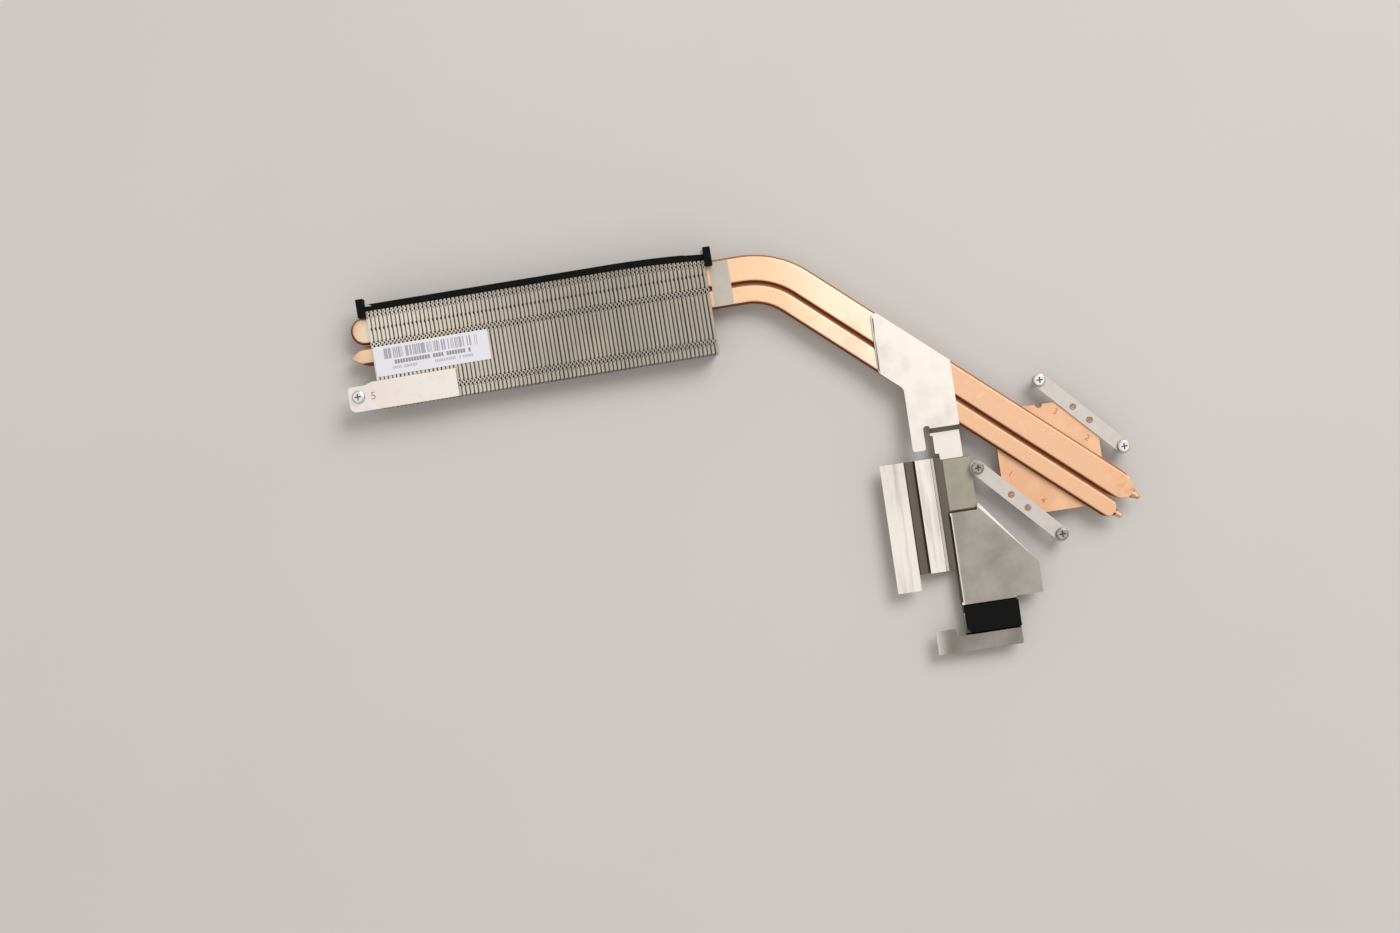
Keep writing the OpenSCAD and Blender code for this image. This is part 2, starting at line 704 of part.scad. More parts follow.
module stepped_plate() {
    lower_left = wall_x + wall_run;
    step_x = wall_x - 3.8;
    folds = [
        [-panel_left, ridge_z], [panel_right, ridge_z], [channel_1, floor_z],
        [channel_1 + channel_w, floor_z], [ridge_left, ridge_z], [ridge_right, ridge_z],
        [ledge_left, ledge_z], [ledge_left + ledge_w, ledge_z], [channel_2, floor_z],
        [wall_x + 1, floor_z]
    ];
    color("gainsboro") union() {
        fold_along_y(fold_bottom, fold_top, folds);
        // the longer side panel
        flat_sheet(ridge_z, rounded([
            [[-panel_left, panel_bottom], corner_r / 2], [[panel_right, panel_bottom], corner_r / 2],
            [[panel_right, fold_bottom + 1], 0], [[-panel_left, fold_bottom + 1], 0]
        ]));
        // the low floor under the insulating pad, and its tongue under the bracket's tab
        flat_sheet(floor_z, [
            [wall_x, lower_top - 1], [pad_right, lower_top - 1], [pad_right, tab_end],
            [-bracket_right - 0.4, tab_end], [-bracket_right - 0.4, tongue_top],
            [wall_x, tongue_top]
        ]);
        // the wide lower plate
        flat_sheet(lower_z, rounded([
            [[lower_left, lower_top], 0], [[pad_right - 0.4, lower_top], 0],
            [[pad_right + 0.2, lower_top + lower_shoulder], corner_r / 2],
            [[lower_right, lower_top - lower_slant], corner_r],
            [[lower_right, lower_bottom + 0.6], corner_r / 2],
            [[bar_right, lower_bottom + 0.6], 0], [[bar_right, lower_bottom], 0],
            [[lower_left, lower_bottom], 0]
        ]));
        // its folded left wall, and the fold that drops to the pad's floor
        fold_along_y(lower_bottom, lower_top, [
            [wall_x - 0.5, floor_z], [wall_x, floor_z], [lower_left, lower_z], [lower_left + 1, lower_z]
        ]);
        fold_along_x(lower_left - 0.3, pad_right - 0.4, [
            [lower_top - 1, lower_z], [lower_top, lower_z],
            [lower_top + wall_run, floor_z], [lower_top + wall_run + 1, floor_z]
        ]);
        // the recess under the foam, and its upstand
        fold_along_x(wall_x, bar_right, [
            [recess_bottom - 1, lower_z], [recess_bottom, lower_z],
            [recess_bottom + wall_run, recess_z], [lower_bottom - wall_run, recess_z],
            [lower_bottom, lower_z], [lower_bottom + 1, lower_z]
        ]);
        translate([wall_x, recess_bottom + 2.6, recess_z - sheet_t])
            cube([sheet_t, upstand_w, plate_rise * 0.8 + sheet_t]);
        // the end bar
        flat_sheet(lower_z, rounded([
            [[bar_left, bar_bottom], corner_r / 2], [[bar_right, bar_bottom], corner_r / 2],
            [[bar_right, recess_bottom], 0], [[step_x, recess_bottom], corner_r / 3],
            [[step_x, recess_bottom + bar_step], corner_r / 2],
            [[bar_left, recess_bottom + bar_step], corner_r / 2]
        ]));
    }
}

module insulating_pad() {
    color("darkkhaki") translate([pad_left, lower_top + wall_run + 0.4, floor_z])
        cube([pad_right - pad_left, tab_end - lower_top - wall_run - 0.6, pad_strip_t]);
}

module recess_foam() {
    left = wall_x + sheet_t + 0.1;
    far = lower_bottom - wall_run - 0.1;
    near = recess_bottom + wall_run + 0.1;
    color("black") translate([0, 0, recess_z]) linear_extrude(cushion_h)
        polygon([
            [left, far], [bar_right + 0.2, far], [bar_right + 0.2, near],
            [left + 1.6, near], [left, near + 2]
        ]);
}

module screw_plate() {
    near = near_edge_v;
    outline = rounded([
        [[stack_left - tongue_off, near], 2.4],
        [[stack_left + tongue_on, near], corner_r / 2],
        [[stack_left + tongue_on, near + tongue_w], corner_r / 2],
        [[stack_left - 2, near + tongue_w], corner_r],
        [[stack_left - 5, near + tongue_w - 1], corner_r],
        [[stack_left - tongue_off, near + tongue_w - 1], 1.6]
    ]);
    color("seashell") in_stack() difference() {
        translate([0, 0, stack_top]) linear_extrude(tongue_t) polygon(outline);
        translate([screw_5_u, screw_5_v, stack_top - eps]) cylinder(h = tongue_t + 2 * eps, d = hole_d);
    }
}

module foam_seal() {
    steps = 24;
    fit = 0.05;
    edge = [for (k = [0 : steps]) let (u = stack_left + stack_len * k / steps) [u, far_edge(u) + fit]];
    outer = [for (k = [steps : -1 : 0]) edge[k] + [0, seal_t]];
    color("black") in_stack() translate([0, 0, stack_z + 1])
        linear_extrude(stack_h - 1 + seal_proud) polygon(concat(edge, outer));
}

// A foam block at one end of the seal, standing over the pipe beside it
module foam_block(u, edge_v) {
    base = pipe_top + 0.3;
    color("black") in_stack() translate([u, edge_v - block_back, base])
        cube([block_w, block_len, stack_top + block_proud - base]);
}

module left_foam_block() {
    foam_block(stack_left - block_w, far_edge(stack_left));
}

module right_foam_block() {
    foam_block(-stack_start, far_edge(-stack_start));
}

module pipe_tape() {
    near = bend_r - (narrow_w - pipe_t) / 2 - 0.4;
    far = wide_bend_r + (wide_w - pipe_t) / 2 + 0.4;
    color("silver") in_stack() translate([-stack_start + tape_gap, near, pipe_top])
        cube([tape_w, far - near, skin_t]);
}

module label() {
    color("white") in_stack()
        translate([stack_left + 0.6, bend_r + narrow_w / 2 - 1.2 - label_d, stack_top])
            cube([label_w, label_d, skin_t]);
}

wide_heat_pipe();
narrow_heat_pipe();
contact_plate();
fin_stack();
upper_spring_arm();
lower_spring_arm();
arm_rivets();
screw_1();
screw_2();
screw_3();
screw_4();
screw_5();
screw_1_clip();
screw_2_clip();
screw_3_clip();
screw_4_clip();
screw_5_clip();
pipe_bracket();
stepped_plate();
insulating_pad();
recess_foam();
screw_plate();
foam_seal();
left_foam_block();
right_foam_block();
pipe_tape();
label();
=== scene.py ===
import math

import bmesh
import bpy
from mathutils import Matrix, Vector


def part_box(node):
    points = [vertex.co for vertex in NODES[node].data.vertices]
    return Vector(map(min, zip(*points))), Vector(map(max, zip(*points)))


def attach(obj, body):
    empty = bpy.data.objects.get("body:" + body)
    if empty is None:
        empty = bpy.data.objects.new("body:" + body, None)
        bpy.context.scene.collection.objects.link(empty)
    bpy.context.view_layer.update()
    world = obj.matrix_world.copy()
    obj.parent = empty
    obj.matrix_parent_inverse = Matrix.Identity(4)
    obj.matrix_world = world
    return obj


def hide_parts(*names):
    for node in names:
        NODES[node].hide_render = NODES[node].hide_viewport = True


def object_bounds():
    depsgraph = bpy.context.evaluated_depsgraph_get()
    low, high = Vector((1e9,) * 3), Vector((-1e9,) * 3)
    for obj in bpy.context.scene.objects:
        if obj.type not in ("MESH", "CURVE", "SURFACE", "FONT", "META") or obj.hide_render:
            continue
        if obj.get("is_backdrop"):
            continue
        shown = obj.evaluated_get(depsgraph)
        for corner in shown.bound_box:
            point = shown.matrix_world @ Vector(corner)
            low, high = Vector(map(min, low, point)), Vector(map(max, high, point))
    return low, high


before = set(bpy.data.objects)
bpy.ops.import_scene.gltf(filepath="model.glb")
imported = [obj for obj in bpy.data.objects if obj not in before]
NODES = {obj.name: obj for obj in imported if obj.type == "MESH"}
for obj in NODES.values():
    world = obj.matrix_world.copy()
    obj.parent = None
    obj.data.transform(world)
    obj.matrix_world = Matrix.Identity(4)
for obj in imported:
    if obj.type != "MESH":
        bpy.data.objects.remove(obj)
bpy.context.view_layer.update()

bl_info = {
    "name": "Flat Heat Pipe Cooling Module",
    "version": (1, 0, 0),
    "blender": (4, 5, 0),
    "location": "3D Viewport > Sidebar > Heat Pipes",
    "description": "Dresses a flat heat pipe cooling module: copper, nickel, zipped fins, foam and label",
    "category": "Add Mesh",
}

MM = 0.001
MODULE = "module"

# The stack's own axes: u runs along the fins and v across them, from the bend's centre
PIPE_ANGLE = math.radians(41)
STACK_TURN = math.radians(0.85)
BEND_CENTRE = (-111.376, 57.836)
IN_STACK = (
    Matrix.Scale(MM, 4)
    @ Matrix.Translation((BEND_CENTRE[0], BEND_CENTRE[1], 0))
    @ Matrix.Rotation(STACK_TURN, 4, "Z")
)
IN_ROW = Matrix.Scale(MM, 4)
STACK_LEFT = -150.3
STACK_START = 13.8
FAR_EDGE_V = 42.169
NEAR_EDGE_V = 2.969
EDGE_CURVE = 40.0
EDGE_RADIUS = 460.0
STACK_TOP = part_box("fin_stack")[1].z / MM
STACK_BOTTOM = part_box("fin_stack")[0].z / MM
# The straight run over the plate, in axes along and across the pipes from the bend's centre
IN_RUN = (
    Matrix.Scale(MM, 4)
    @ Matrix.Translation((BEND_CENTRE[0], BEND_CENTRE[1], 0))
    @ Matrix.Rotation(-PIPE_ANGLE, 4, "Z")
)
WIDE_V = 34.769
NARROW_V = 24.7
PINCH_START = 155.5
WIDE_TIP = 160.55
NARROW_TIP = 158.65
PIPE_Z = 3.75
POINT_LENGTH = 7.4
GROOVE_STRIP_V = 28.95
GROOVE_STRIP_RUN = 148.0
# The pair of pipes where it runs through the fins, as v and z
SLOT_V = (20.2, 40.7)
SLOT_Z = (2.4, 5.1)


def tint(red, green, blue):
    """A colour written in 0 to 255 display steps, as the linear values that Blender keeps."""
    def linear(step):
        share = step / 255
        return share / 12.92 if share <= 0.04045 else ((share + 0.055) / 1.055) ** 2.4
    return (linear(red), linear(green), linear(blue), 1.0)


# ---------- settings ----------

def colour(name, description, default):
    return bpy.props.FloatVectorProperty(
        name=name, description=description, default=default, size=4, min=0, max=1, subtype="COLOR")


def length(name, description, millimetres):
    return bpy.props.FloatProperty(
        name=name, description=description, default=millimetres * MM, min=0, precision=5,
        unit="LENGTH")


def share(name, description, default):
    return bpy.props.FloatProperty(
        name=name, description=description, default=default, min=0, max=1, subtype="FACTOR")


class CopperSettings(bpy.types.PropertyGroup):
    bright: colour("Bright copper", "Colour of the pipes' polished flats", tint(238, 190, 153))
    pale: colour("Pale copper", "Colour of the flats where they look palest", tint(254, 238, 212))
    # Painted shade: the colour that the pipes' rounded sides, the groove strip and the contact plate's
    # edges are darkened to.
    side: colour("Side copper", "Colour of the pipes' rounded sides", tint(134, 76, 48))
    plate: colour("Plate copper", "Colour of the contact plate", tint(228, 178, 140))
    stain: colour("Copper stain", "Colour of the tarnish round the crimped tips", tint(190, 112, 80))
    roughness: share("Copper roughness", "How matt the copper is", 0.34)


class NickelSettings(bpy.types.PropertyGroup):
    bright: colour("Bright nickel", "Colour of the clean plated sheet", tint(250, 242, 233))
    # Also the colour of painted shade and painted reflection streaks on the stepped plate.
    smudge_and_shade_colour: colour("Smudged nickel", "Colour of the handled plated sheet", tint(150, 143, 137))
    shadow: colour("Dark nickel", "Colour of the channels and sheared edges", tint(104, 95, 86))
    arm: colour("Arm steel", "Colour of the spring arms", tint(207, 200, 194))
    screw: colour("Screw nickel", "Colour of the bright screws", tint(238, 238, 238))
    dull_screw: colour("Dull screw", "Colour of the two dull screws", tint(182, 179, 170))
    bevel: length("Edge rounding", "Width of the rounded sheet edges", 0.2)
    thread_pitch: length("Thread pitch", "Distance between the screws' thread turns", 0.45)


class FinSettings(bpy.types.PropertyGroup):
    count: bpy.props.IntProperty(name="Fins", description="Number of fins", default=83, min=2)
    pitch: length("Pitch", "Distance from one fin to the next", 1.65)
    sheet: length("Sheet", "Thickness of the fin sheet", 0.3)
    bright: colour("Bright fin", "Colour of the fins by the label", tint(238, 229, 214))
    shaded: colour("Shaded fin", "Colour of the fins by the bend", tint(170, 162, 150))


class TrimSettings(bpy.types.PropertyGroup):
    foam: colour("Foam", "Colour of the foam seal", tint(13, 13, 13))
    # Painted light: the colour of the wedges that stand for the foam ends' lit sides.
    lit_foam_end: colour("Film", "Colour of the clear film beside the seal's ends", tint(165, 167, 168))
    tape: colour("Tape", "Colour of the tape over the pipes", tint(197, 189, 176))
    pad: colour("Pad", "Colour of the insulating pad", tint(171, 163, 145))
    label: colour("Label", "Colour of the label's paper", tint(233, 231, 238))
    ink: colour("Ink", "Colour of the label's bars and lines", tint(120, 120, 128))


class StageSettings(bpy.types.PropertyGroup):
    floor: colour("Floor", "Colour of the table", tint(208, 203, 199))
    lamp_power: bpy.props.FloatProperty(
        name="Lamp", description="Power of the soft lamp, in watts", default=47.0, min=0)
    sky: bpy.props.FloatProperty(
        name="Sky", description="Strength of the light from all round", default=0.62, min=0)
    camera_height: length("Camera height", "Height of the camera above the contact face", 782.8)
    camera_x: bpy.props.FloatProperty(
        name="Camera X", description="Place of the camera along X", default=-0.1395, unit="LENGTH")
    camera_y: bpy.props.FloatProperty(
        name="Camera Y", description="Place of the camera along Y", default=0.017, unit="LENGTH")
    camera_turn: bpy.props.FloatProperty(
        name="Camera turn", description="Turn of the camera about Z", default=math.radians(-8.5),
        subtype="ANGLE")


SETTINGS = {
    "heat_copper": CopperSettings,
    "heat_nickel": NickelSettings,
    "heat_fins": FinSettings,
    "heat_trim": TrimSettings,
    "heat_stage": StageSettings,
}


# ---------- shader maths ----------

class Signal:
    """One output of a shader node. Arithmetic on it adds Math nodes to the same finish."""

    def __init__(self, finish, socket):
        self.finish = finish
        self.socket = socket

    def _with(self, operation, first, second):
        return self.finish.node("ShaderNodeMath", {"operation": operation}, {0: first, 1: second})

    def __add__(self, other):
        return self._with("ADD", self, other)

    __radd__ = __add__

    def __sub__(self, other):
        return self._with("SUBTRACT", self, other)

    def __rsub__(self, other):
        return self._with("SUBTRACT", other, self)

    def __mul__(self, other):
        return self._with("MULTIPLY", self, other)

    __rmul__ = __mul__

    def __truediv__(self, other):
        return self._with("DIVIDE", self, other)

    def __rtruediv__(self, other):
        return self._with("DIVIDE", other, self)

    def __gt__(self, other):
        return self._with("GREATER_THAN", self, other)

    def __lt__(self, other):
        return self._with("LESS_THAN", self, other)

    def floor(self):
        return self._with("FLOOR", self, 0.0)

    def absolute(self):
        return self._with("ABSOLUTE", self, 0.0)

    def fraction(self):
        return self._with("FRACT", self, 0.0)

    def ramp(self, low, high):
        """0 below low, 1 above high and smooth between them."""
        return self.finish.node(
            "ShaderNodeMapRange", {"interpolation_type": "SMOOTHSTEP"},
            {"Value": self, "From Min": low, "From Max": high})


class Graph:
    """The node tree of a material or of the world, emptied and ready for new nodes."""

    def __init__(self, owner):
        owner.use_nodes = True
        self.tree = owner.node_tree
        self.tree.nodes.clear()

    def node(self, kind, settings=None, values=None, output=0):
        """Adds any node: its settings first, then the values or links of its sockets."""
        made = self.tree.nodes.new(kind)
        for key, value in (settings or {}).items():
            if key == "stops":
                self._stops(made.color_ramp, value)
            else:
                setattr(made, key, value)
        for key, value in (values or {}).items():
            self._feed(made.inputs[key], value)
        return None if output is None else Signal(self, made.outputs[output])

    def _stops(self, ramp, stops):
        while len(ramp.elements) < len(stops):
            ramp.elements.new(1.0)
        for element, (place, value) in zip(ramp.elements, stops):
            element.position = place
            element.color = value

    def _feed(self, socket, value):
        if isinstance(value, Signal):
            self.tree.links.new(value.socket, socket)
        else:
            socket.default_value = value

    def parts(self, vector):
        """The three numbers of a vector."""
        return [self.node("ShaderNodeSeparateXYZ", None, {0: vector}, k) for k in range(3)]


class Finish(Graph):
    """A node material with one surface shader."""

    def __init__(self, name):
        self.material = bpy.data.materials.new(name)
        super().__init__(self.material)
        surface = self.node("ShaderNodeBsdfPrincipled")
        self.surface = surface.socket.node
        self.node("ShaderNodeOutputMaterial", None, {"Surface": surface}, None)

    def give(self, **values):
        """Sets or links the surface's own sockets, named with _ for a space."""
        for key, value in values.items():
            self._feed(self.surface.inputs[key.replace("_", " ")], value)
        return self.material

    def place(self):
        """The point's place on the object, in metres."""
        return self.node("ShaderNodeTexCoord", output="Object")

    def stack_place(self):
        """The point's place in the fin stack's own axes, in metres."""
        return self.node(
            "ShaderNodeMapping", {"vector_type": "TEXTURE"},
            {"Vector": self.place(), "Location": (BEND_CENTRE[0] * MM, BEND_CENTRE[1] * MM, 0),
             "Rotation": (0, 0, STACK_TURN)})

    def stretched(self, vector, scale, turn=0.0):
        return self.node(
            "ShaderNodeMapping", None,
            {"Vector": vector, "Rotation": (0, 0, turn), "Scale": scale})

    def noise(self, vector, scale, detail=3.0, roughness=0.55):
        return self.node(
            "ShaderNodeTexNoise", None,
            {"Vector": vector, "Scale": scale, "Detail": detail, "Roughness": roughness})

    def speckle(self, signal):
        """A steady random number for each whole number."""
        return self.node("ShaderNodeTexWhiteNoise", {"noise_dimensions": "1D"}, {"W": signal})

    def mix(self, mask, below, above):
        return self.node(
            "ShaderNodeMix", {"data_type": "RGBA"}, {0: mask, 6: below, 7: above}, output=2)

    def bump(self, height, strength, distance=0.0002):
        return self.node(
            "ShaderNodeBump", None, {"Height": height, "Strength": strength, "Distance": distance})

    def facing_up(self):
        """1 on faces that look up or down, 0 on upright ones."""
        normal = self.node("ShaderNodeNewGeometry", output="Normal")
        return self.parts(normal)[2].absolute()


# ---------- finishes ----------

def pipe_copper(look):
    """Drawn and pressed copper: bright flats, sides darkened with painted shade, and pinched ends."""
    finish = Finish("polished_copper")
    place = finish.place()
    along = finish.parts(place)[0]
    tone = finish.node(
        "ShaderNodeValToRGB",
        {"stops": [(0.0, tint(234, 190, 156)), (0.012, tint(250, 222, 190)),
                   (0.03, tint(254, 240, 212)), (0.44, tint(244, 194, 156)),
                   (0.57, tint(252, 214, 176)), (0.64, look.pale), (0.69, look.pale),
                   (0.78, look.bright), (1.0, look.bright)]},
        {"Fac": (along + 0.27) / 0.303})
    cloud = finish.noise(place, 60.0, 4.0)
    fine = finish.noise(place, 480.0, 3.0)
    flat = finish.mix(cloud.ramp(0.48, 0.75) * 0.45, tone, tint(238, 184, 142))
    flat = finish.mix(fine.ramp(0.55, 0.8) * 0.25, flat, tint(255, 236, 214))
    tip = along.ramp(0.017, 0.033)
    tarnish = tip * finish.noise(place, 420.0, 3.0).ramp(0.45, 0.7)
    flat = finish.mix(tarnish * 0.5, flat, look.stain)
    # Painted shade: the rounded sides are darkened, deepest on the sides that face away from the lamp;
    # the sides that face the lamp get a lighter brown in place of the lamp's highlight.
    normal = finish.node("ShaderNodeNewGeometry", output="Normal")
    away_from_lamp = finish.node(
        "ShaderNodeVectorMath", {"operation": "DOT_PRODUCT"},
        {0: normal, 1: (-0.58, -0.815, 0)}, "Value").ramp(0.02, 0.12)
    x, y, z = finish.parts(place)
    run = (x - BEND_CENTRE[0] * MM) * math.cos(PIPE_ANGLE) \
        - (y - BEND_CENTRE[1] * MM) * math.sin(PIPE_ANGLE)
    pinched = run.ramp(PINCH_START * MM, PINCH_START * MM + 0.001)
    side = (1 - finish.facing_up().ramp(0.965, 0.9995)) * (1 - pinched * 0.8)
    painted_side_shade = finish.mix(away_from_lamp, tint(186, 134, 98), look.side)
    tone = finish.mix(side, flat, painted_side_shade)
    # Painted shade: the pipes turn dark and matt where they run inside the fin stack.
    u, v, z = finish.parts(finish.stack_place())
    in_stack_shade = (u > STACK_LEFT * MM) * (u < -STACK_START * MM)
    return finish.give(
        Base_Color=finish.mix(in_stack_shade * 0.8, tone, tint(48, 38, 30)), Metallic=0.85 - pinched * 0.35,
        Roughness=look.roughness + cloud * 0.1 + in_stack_shade * 0.3 + side * 0.25,
        Normal=finish.bump(cloud + fine * 0.5, 0.12))


# Painted shade: the dark copper of the strip in the groove between the pipes.
def groove_shade_copper(look):
    finish = Finish("groove_shade_copper")
    place = finish.place()
    cloud = finish.noise(place, 260.0, 3.0)
    tone = finish.mix(cloud.ramp(0.4, 0.7), look.side, tint(160, 86, 54))
    return finish.give(Base_Color=tone, Metallic=0.6, Roughness=0.55)


def plate_copper(look):
    finish = Finish("plate_copper")
    place = finish.place()
    cloud = finish.noise(place, 90.0, 4.0)
    tone = finish.mix(cloud.ramp(0.35, 0.7), look.plate, tint(236, 190, 154))
    # Painted shade: the contact plate's upright edges are darkened to the side copper.
    side = 1 - finish.facing_up().ramp(0.3, 0.9)
    return finish.give(
        Base_Color=finish.mix(side, tone, look.side), Metallic=0.85,
        Roughness=0.42 + cloud * 0.08, Normal=finish.bump(finish.noise(place, 900.0, 2.0), 0.1))


def rivet_copper(look):
    finish = Finish("rivet_copper")
    cloud = finish.noise(finish.place(), 700.0, 2.0)
    tone = finish.mix(cloud.ramp(0.4, 0.7), tint(190, 140, 116), tint(222, 194, 176))
    return finish.give(Base_Color=tone, Metallic=0.9, Roughness=0.35)


def nickel(name, look, shade):
    """Nickel-plated sheet. shade(finish, place) gives two shares: smudges mixed with painted shade and
    painted reflection, and darkening that is mostly painted shade.
    """
    finish = Finish(name)
    place = finish.place()
    cloud = finish.noise(place, 55.0, 5.0, 0.6)
    fine = finish.noise(place, 420.0, 3.0)
    smudge_and_shade, dark = shade(finish, place)
    tone = finish.mix(smudge_and_shade, look.bright, look.smudge_and_shade_colour)
    tone = finish.mix(cloud.ramp(0.5, 0.75) * 0.3, tone, tint(206, 192, 172))
    tone = finish.mix(fine.ramp(0.6, 0.85) * 0.08, tone, tint(252, 250, 246))
    # Painted shade: rounded edges and upright faces turn dark, partly for the dark sheared edges and
    # partly for shadow lines along them.
    side = 1 - finish.facing_up().ramp(0.75, 0.998)
    tone = finish.mix((dark + side * 0.85).ramp(0.0, 1.0), tone, look.shadow)
    return finish.give(
        Base_Color=tone, Metallic=0.85, Roughness=0.28 + cloud * 0.14,
        Normal=finish.bump(cloud + fine * 0.4, 0.08))


def bracket_shade(finish, place):
    x, y, z = finish.parts(place)
    leg = 1 - (y - 0.014).ramp(-0.02, 0.02)
    # Painted shade: a dark line along the bracket's left edge.
    rim = (1 - (x + 0.0627).ramp(-0.0001, 0.0003)) * 0.4
    return leg * 0.12 + finish.noise(place, 70.0, 3.0).ramp(0.5, 0.85) * 0.3, rim


def stepped_shade(finish, place):
    x, y, z = finish.parts(place)
    # Painted shade: the channel floors, the lowest faces, are darkened.
    floor = 1 - z.ramp(0.0012, 0.0018)
    cloud = finish.noise(place, 48.0, 4.0, 0.6).ramp(0.3, 0.7)
    plate = (x + 0.0425).ramp(-0.0004, 0.0004) * (1 - (y + 0.0155).ramp(-0.0006, 0.0006)) * (y + 0.0575).ramp(-0.0004, 0.0004)
    bar = (1 - (y + 0.0575).ramp(-0.0004, 0.0004)) * (x + 0.0557).ramp(-0.004, 0.006)
    # Painted highlight: a bright strip along the lower plate's diagonal edge, kept clear of smudge and
    # darkening.
    diagonal_highlight = ((x + 0.0321) * 0.767 + (y + 0.0144) * 0.641).ramp(-0.0004, -0.0002)
    # Darker and cloudier over the lower plate and the bar.
    worn = finish.node("ShaderNodeMath", {"operation": "MAXIMUM"}, {0: plate, 1: bar})
    panel = (1 - (x + 0.0555).ramp(-0.002, 0.002)) * y.ramp(-0.03, 0.012) * 0.3
    # Painted reflection: long grey streaks, leaving bright bands between them.
    sheen_streak = finish.noise(finish.stretched(place, (6, 0.5, 1)), 60.0, 2.0).ramp(0.45, 0.7) * 0.3
    # Painted shade: a grey band down the ridge's right side.
    band = (x + 0.0478).ramp(0.0, 0.0006) * (1 - (x + 0.0452).ramp(0.0, 0.0006)) * 0.55
    smudge_and_shade = worn * (0.78 + cloud * 0.22) * (1 - diagonal_highlight) + panel * cloud + (band + sheen_streak) * (1 - worn)
    return smudge_and_shade, floor * 0.9 + (worn * cloud * 0.12 + bar * 0.3) * (1 - diagonal_highlight)


def tongue_nickel(look):
    """The screw plate's plating, with faint pink and yellow heat colours."""
    finish = Finish("tongue_nickel")
    place = finish.place()
    u, v, z = finish.parts(finish.stack_place())
    wave = finish.noise(place, 26.0, 2.0)
    fine = finish.noise(place, 300.0, 3.0)
    sweep = (u * 34.0 + v * 40.0 + wave * 1.6).fraction().ramp(0.2, 0.8)
    tone = finish.mix((u + 0.145).ramp(-0.02, 0.03), tint(250, 234, 232), tint(255, 246, 228))
    tone = finish.mix(sweep * 0.45, tone, tint(250, 246, 246))
    tone = finish.mix(fine.ramp(0.5, 0.8) * 0.25, tone, tint(214, 204, 192))
    # Painted shade: the plate's upright faces and its right end are darkened.
    side = 1 - finish.facing_up().ramp(0.5, 0.97)
    right_end_shade = (u + 0.1185).ramp(-0.0002, 0.0002)
    tone = finish.mix((side * 0.7 + right_end_shade * 0.8).ramp(0.0, 1.0), tone, look.shadow)
    return finish.give(
        Base_Color=tone, Metallic=0.8, Roughness=0.26 + wave * 0.14,
        Normal=finish.bump(fine, 0.05))


def arm_steel(look):
    finish = Finish("arm_steel")
    place = finish.place()
    grain = finish.noise(place, 300.0, 3.0)
    tone = finish.mix(grain.ramp(0.3, 0.8) * 0.35, look.arm, tint(184, 178, 172))
    return finish.give(Base_Color=tone, Metallic=0.55, Roughness=0.5,
                       Normal=finish.bump(finish.noise(place, 1500.0, 2.0), 0.1))


def screw_metal(name, colour_value, top, worn):
    """Plated screw steel, with painted shade inside the cross recess below the height top."""
    finish = Finish(name)
    place = finish.place()
    z = finish.parts(place)[2]
    grain = finish.noise(place, 900.0, 3.0)
    tone = finish.mix(grain.ramp(0.4, 0.7) * worn, colour_value, tint(118, 112, 100))
    deep_shade = (1 - z.ramp(top - 0.0009, top - 0.0002)) * z.ramp(top - 0.0017, top - 0.0015)
    tone = finish.mix(deep_shade * 0.8, tone, tint(58, 50, 44))
    return finish.give(Base_Color=tone, Metallic=0.85, Roughness=0.3 + grain * 0.1)


def clip_steel():
    finish = Finish("clip_steel")
    grain = finish.noise(finish.place(), 800.0, 2.0)
    tone = finish.mix(grain, tint(70, 70, 72), tint(104, 104, 106))
    return finish.give(Base_Color=tone, Metallic=0.8, Roughness=0.4)


def fin_aluminium(look):
    finish = Finish("fin_aluminium")
    u, v, z = finish.parts(finish.stack_place())
    place = finish.place()
    each = finish.speckle((u / look.pitch).floor())
    along = (u + 0.125).ramp(-0.02, 0.06)
    cloud = finish.noise(place, 45.0, 3.0)
    tone = finish.mix(along * 0.85 + each * 0.12, look.bright, look.shaded)
    tone = finish.mix(cloud.ramp(0.45, 0.7) * 0.35, tone, tint(214, 200, 172))
    # Painted shade: the fins darken low down inside the stack, away from the near edge.
    deep_shade = (1 - z.ramp(0.0050, 0.0076)) * (v - NEAR_EDGE_V * MM).ramp(0.0002, 0.0012)
    tone = finish.mix(deep_shade * 0.7, tone, tint(96, 86, 74))
    return finish.give(Base_Color=tone, Metallic=0.75 - deep_shade * 0.45, Roughness=0.34 + each * 0.08,
                       Normal=finish.bump(finish.noise(place, 700.0, 2.0), 0.1))


def black_foam(look):
    finish = Finish("black_foam")
    place = finish.place()
    cells = finish.noise(place, 2600.0, 3.0)
    tone = finish.mix(cells.ramp(0.45, 0.8) * 0.8, look.foam, tint(34, 34, 33))
    return finish.give(Base_Color=tone, Roughness=0.9, Specular_IOR_Level=0.15,
                       Normal=finish.bump(cells, 0.4, 0.0003))


# Painted light: the pale grey of the wedges that stand for the lit sides of the foam seal's ends.
def lit_foam_end_finish(look):
    finish = Finish("lit_foam_end_finish")
    haze = finish.noise(finish.place(), 600.0, 2.0)
    tone = finish.mix(haze, look.lit_foam_end, tint(196, 198, 199))
    return finish.give(Base_Color=tone, Roughness=0.3)


def grey_tape(look):
    finish = Finish("grey_tape")
    place = finish.place()
    cloud = finish.noise(place, 180.0, 3.0)
    tone = finish.mix(cloud.ramp(0.3, 0.8) * 0.5, look.tape, tint(184, 176, 162))
    return finish.give(Base_Color=tone, Roughness=0.6, Normal=finish.bump(cloud, 0.1))


